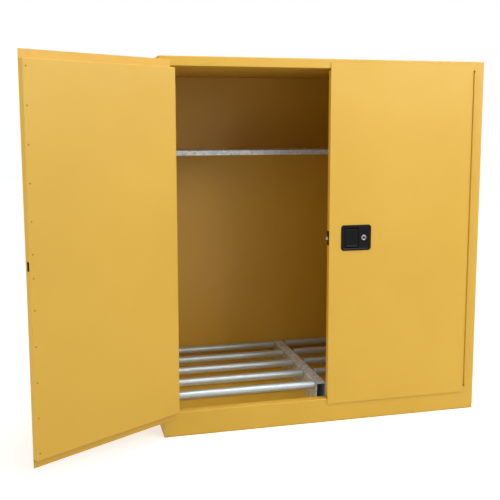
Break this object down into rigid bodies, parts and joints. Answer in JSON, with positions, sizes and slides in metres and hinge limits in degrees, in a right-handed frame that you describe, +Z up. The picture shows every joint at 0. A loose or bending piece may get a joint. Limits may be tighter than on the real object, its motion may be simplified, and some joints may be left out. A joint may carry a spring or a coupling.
{
  "type": "flammable storage cabinet",
  "caption": "Double-walled steel safety cabinet for upright drums, with hinged doors, a paddle latch with locking rods, a half-depth shelf and roller beds in the sump.",
  "frame": {"origin": "on the floor, at the centre of the cabinet's base plate", "axes": "+Z up, the doors face -Y, +X to the right for someone who faces the doors"},
  "size_m": [2.0535, 1.2655, 1.651],
  "materials": {
    "yellow_paint": "satin powder coat",
    "galvanised": "spangled zinc",
    "plain_steel": "bright zinc plated",
    "roller_tube": "drawn tube",
    "black_plastic": "fine moulded texture",
    "nickel_plate": "bright nickel",
    "brass": "plain"
  },
  "bodies": {
    "cabinet": {"outer_side_left": "yellow_paint", "outer_side_right": "yellow_paint", "outer_top": "yellow_paint", "outer_back": "yellow_paint", "outer_base": "yellow_paint", "front_frame": "yellow_paint", "inner_side_left": "yellow_paint", "inner_side_right": "yellow_paint", "inner_ceiling": "yellow_paint", "inner_back": "yellow_paint", "sump_pan": "yellow_paint", "hinge_leaf_frame_left": "yellow_paint", "hinge_leaf_frame_right": "yellow_paint", "vent_left": "yellow_paint", "vent_right": "yellow_paint", "shelf": "galvanised", "shelf_bracket_left": "galvanised", "shelf_bracket_right": "galvanised", "rail_left_inner": "galvanised", "rail_left_outer": "galvanised", "rail_right_inner": "galvanised", "rail_right_outer": "galvanised", "hinge_pin_left": "plain_steel", "hinge_pin_right": "plain_steel", "axle_left_1": "plain_steel", "axle_left_2": "plain_steel", "axle_left_3": "plain_steel", "axle_left_4": "plain_steel", "axle_left_5": "plain_steel", "axle_right_1": "plain_steel", "axle_right_2": "plain_steel", "axle_right_3": "plain_steel", "axle_right_4": "plain_steel", "axle_right_5": "plain_steel", "ground_lug": "brass"},
    "left_door": {"door_skin_left": "yellow_paint", "door_pan_left": "yellow_paint", "hinge_leaf_door_left": "yellow_paint"},
    "right_door": {"door_skin_right": "yellow_paint", "door_pan_right": "yellow_paint", "hinge_leaf_door_right": "yellow_paint", "latch_bezel": "black_plastic", "latch_edge_plate": "black_plastic"},
    "paddle": {"latch_paddle": "black_plastic"},
    "lock": {"lock_cylinder": "nickel_plate"},
    "bolt": {"latch_bolt": "nickel_plate"},
    "rod_top": {"latch_rod_top": "plain_steel"},
    "rod_bottom": {"latch_rod_bottom": "plain_steel"},
    "vent_cap_left": {"vent_cap_left": "black_plastic"},
    "vent_cap_right": {"vent_cap_right": "black_plastic"},
    "roller_left_1": {"roller_left_1": "roller_tube"},
    "roller_left_2": {"roller_left_2": "roller_tube"},
    "roller_left_3": {"roller_left_3": "roller_tube"},
    "roller_left_4": {"roller_left_4": "roller_tube"},
    "roller_left_5": {"roller_left_5": "roller_tube"},
    "roller_right_1": {"roller_right_1": "roller_tube"},
    "roller_right_2": {"roller_right_2": "roller_tube"},
    "roller_right_3": {"roller_right_3": "roller_tube"},
    "roller_right_4": {"roller_right_4": "roller_tube"},
    "roller_right_5": {"roller_right_5": "roller_tube"}
  },
  "joints": [
    {"name": "left_door_hinge", "type": "hinge", "parent": "cabinet", "child": "left_door", "pos_m": [-0.701, -0.44, 0.86125], "axis": [0, 0, -1], "range_deg": [-148.4, 31.6]},
    {"name": "right_door_hinge", "type": "hinge", "parent": "cabinet", "child": "right_door", "pos_m": [0.701, -0.44, 0.86125], "axis": [0, 0, 1], "range_deg": [0, 180]},
    {"name": "paddle_pivot", "type": "hinge", "parent": "right_door", "child": "paddle", "pos_m": [0.111, -0.4345, 0.894], "axis": [-1, 0, 0], "range_deg": [0, 40]},
    {"name": "lock_turn", "type": "hinge", "parent": "right_door", "child": "lock", "pos_m": [0.169, -0.432, 0.858], "axis": [0, 1, 0], "range_deg": [0, 90]},
    {"name": "bolt_slide", "type": "slide", "parent": "right_door", "child": "bolt", "axis": [1, 0, 0], "range_m": [0, 0.013]},
    {"name": "rod_top_slide", "type": "slide", "parent": "right_door", "child": "rod_top", "axis": [0, 0, -1], "range_m": [0, 0.022]},
    {"name": "rod_bottom_slide", "type": "slide", "parent": "right_door", "child": "rod_bottom", "axis": [0, 0, 1], "range_m": [0, 0.022]},
    {"name": "roller_left_1_spin", "type": "hinge", "parent": "cabinet", "child": "roller_left_1", "pos_m": [-0.354, -0.337, 0.151], "axis": [1, 0, 0], "continuous": true},
    {"name": "roller_left_2_spin", "type": "hinge", "parent": "cabinet", "child": "roller_left_2", "pos_m": [-0.354, -0.162, 0.151], "axis": [1, 0, 0], "continuous": true},
    {"name": "roller_left_3_spin", "type": "hinge", "parent": "cabinet", "child": "roller_left_3", "pos_m": [-0.354, 0.013, 0.151], "axis": [1, 0, 0], "continuous": true},
    {"name": "roller_left_4_spin", "type": "hinge", "parent": "cabinet", "child": "roller_left_4", "pos_m": [-0.354, 0.188, 0.151], "axis": [1, 0, 0], "continuous": true},
    {"name": "roller_left_5_spin", "type": "hinge", "parent": "cabinet", "child": "roller_left_5", "pos_m": [-0.354, 0.363, 0.151], "axis": [1, 0, 0], "continuous": true},
    {"name": "vent_cap_left_turn", "type": "hinge", "parent": "cabinet", "child": "vent_cap_left", "pos_m": [-0.753, 0.308, 0.23], "axis": [-1, 0, 0], "continuous": true},
    {"name": "roller_right_1_spin", "type": "hinge", "parent": "cabinet", "child": "roller_right_1", "pos_m": [0.354, -0.337, 0.151], "axis": [1, 0, 0], "continuous": true},
    {"name": "roller_right_2_spin", "type": "hinge", "parent": "cabinet", "child": "roller_right_2", "pos_m": [0.354, -0.162, 0.151], "axis": [1, 0, 0], "continuous": true},
    {"name": "roller_right_3_spin", "type": "hinge", "parent": "cabinet", "child": "roller_right_3", "pos_m": [0.354, 0.013, 0.151], "axis": [1, 0, 0], "continuous": true},
    {"name": "roller_right_4_spin", "type": "hinge", "parent": "cabinet", "child": "roller_right_4", "pos_m": [0.354, 0.188, 0.151], "axis": [1, 0, 0], "continuous": true},
    {"name": "roller_right_5_spin", "type": "hinge", "parent": "cabinet", "child": "roller_right_5", "pos_m": [0.354, 0.363, 0.151], "axis": [1, 0, 0], "continuous": true},
    {"name": "vent_cap_right_turn", "type": "hinge", "parent": "cabinet", "child": "vent_cap_right", "pos_m": [0.753, 0.308, 1.48], "axis": [1, 0, 0], "continuous": true}
  ],
  "couplings": [
    {"joint": "bolt_slide", "follows": "paddle_pivot", "m_per_rad": 0.0186},
    {"joint": "rod_top_slide", "follows": "paddle_pivot", "m_per_rad": 0.0315},
    {"joint": "rod_bottom_slide", "follows": "paddle_pivot", "m_per_rad": 0.0315}
  ]
}
